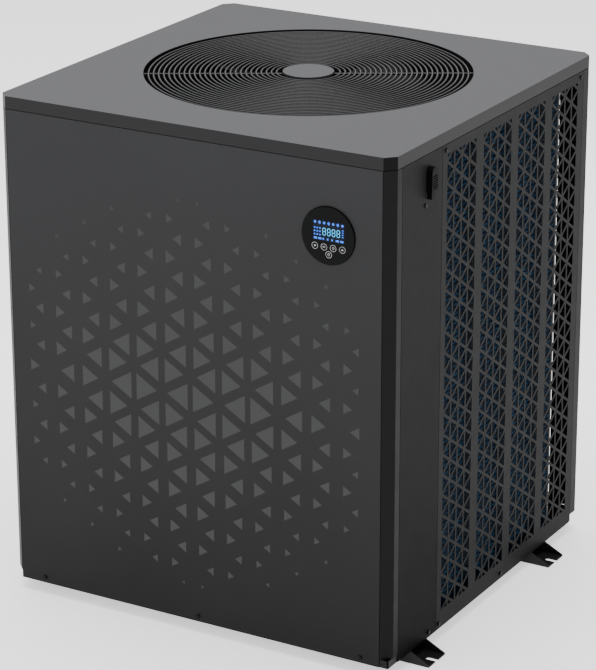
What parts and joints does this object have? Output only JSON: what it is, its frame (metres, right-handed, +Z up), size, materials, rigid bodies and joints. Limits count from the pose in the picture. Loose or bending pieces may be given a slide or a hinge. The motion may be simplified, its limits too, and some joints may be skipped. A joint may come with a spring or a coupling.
{
  "type": "pool heat pump",
  "caption": "Box-shaped pool heat pump with a fan in its top, slotted coil guards, a round controller and side water unions.",
  "frame": {"origin": "plan centre of the four foot slots, on the surface that the feet stand on", "axes": "+Z up, towards the fan guard; -Y towards the front with the round controller; +X to the right seen from the front"},
  "size_m": [0.842, 0.7601, 0.923],
  "materials": {
    "cabinet_paint": "fine matt powder coat, dark grey",
    "cover_paint": "fine matt powder coat, mid grey",
    "foot_paint": "black powder coat",
    "galvanised": "galvanised sheet",
    "guard_wire": "coated steel wire, mid grey",
    "fins": "thin sheet with a blue hydrophilic coat",
    "copper": "bare copper tube, rather dull",
    "brass": "machined",
    "black_metal": "semi-gloss black enamel",
    "motor_paint": "semi-gloss grey enamel",
    "fan_plastic": "moulded, fine grain",
    "steel": "zinc plated",
    "stainless": "bright",
    "rubber": "matt",
    "titanium": "drawn tube",
    "white_pvc": "moulded",
    "grey_pvc": "moulded",
    "black_plastic": "fine moulded grain",
    "controller_face": "satin printed cover",
    "board": "solder mask",
    "relay_plastic": "moulded",
    "black_screw": "black zinc"
  },
  "bodies": {
    "cabinet": {"front_foot": "foot_paint", "rear_foot": "foot_paint", "base_tray": "cabinet_paint", "drain_nipple": "grey_pvc", "hex_bolts": "steel", "front_left_post": "cabinet_paint", "front_right_post": "cabinet_paint", "rear_left_post": "cabinet_paint", "rear_right_post": "cabinet_paint", "front_panel": "cabinet_paint", "service_panel": "cabinet_paint", "connection_panel": "cabinet_paint", "right_grille": "cabinet_paint", "left_grille": "cabinet_paint", "rear_grille": "cabinet_paint", "top_cover": "cover_paint", "top_frame": "galvanised", "fan_shroud": "black_metal", "fan_guard": "guard_wire", "guard_centre_disc": "guard_wire", "motor_rails": "galvanised", "fan_motor": "motor_paint", "right_coil_fins": "fins", "left_coil_fins": "fins", "rear_coil_fins": "fins", "coil_end_plates": "galvanised", "coil_return_bends": "copper", "partition_wall": "galvanised", "compartment_roof": "galvanised", "compressor": "black_metal", "compressor_grommets": "rubber", "accumulator": "black_metal", "four_way_valve": "brass", "expansion_valve": "brass", "discharge_pipe": "copper", "suction_pipe": "copper", "gas_pipes": "copper", "liquid_pipes": "copper", "exchanger_shell": "white_pvc", "titanium_coil": "titanium", "water_pipes": "white_pvc", "water_unions": "grey_pvc", "flow_switch": "black_plastic", "electrical_box": "galvanised", "electrical_box_cover": "galvanised", "control_board": "board", "contactor": "relay_plastic", "terminal_block": "relay_plastic", "cable_gland": "black_plastic", "controller_body": "black_plastic", "controller_face": "controller_face", "sensor_housing": "black_plastic", "sensor_probe": "stainless", "panel_screws": "black_screw"},
    "fan_rotor": {"fan_blades": "fan_plastic", "fan_shaft": "stainless", "fan_nut": "stainless"},
    "flow_paddle": {"flow_paddle": "stainless"},
    "contactor_plunger": {"contactor_plunger": "black_plastic"},
    "valve_slide": {"valve_slide": "black_plastic"}
  },
  "joints": [
    {"name": "fan_spin", "type": "hinge", "parent": "cabinet", "child": "fan_rotor", "pos_m": [0, 0.054, 0.85], "axis": [0, 0, 1], "continuous": true},
    {"name": "flow_paddle_swing", "type": "hinge", "parent": "cabinet", "child": "flow_paddle", "pos_m": [-0.327, -0.2545, 0.21], "axis": [0, -1, 0], "range_deg": [0, 25], "stiffness_Nm_per_rad": 0.02, "springref_deg": -5.73},
    {"name": "contactor_pull_in", "type": "slide", "parent": "cabinet", "child": "contactor_plunger", "axis": [-1, 0, 0], "range_m": [0, 0.003], "stiffness_N_per_m": 400, "springref_m": -0.001},
    {"name": "valve_shift", "type": "slide", "parent": "cabinet", "child": "valve_slide", "axis": [1, 0, 0], "range_m": [0, 0.024]}
  ]
}
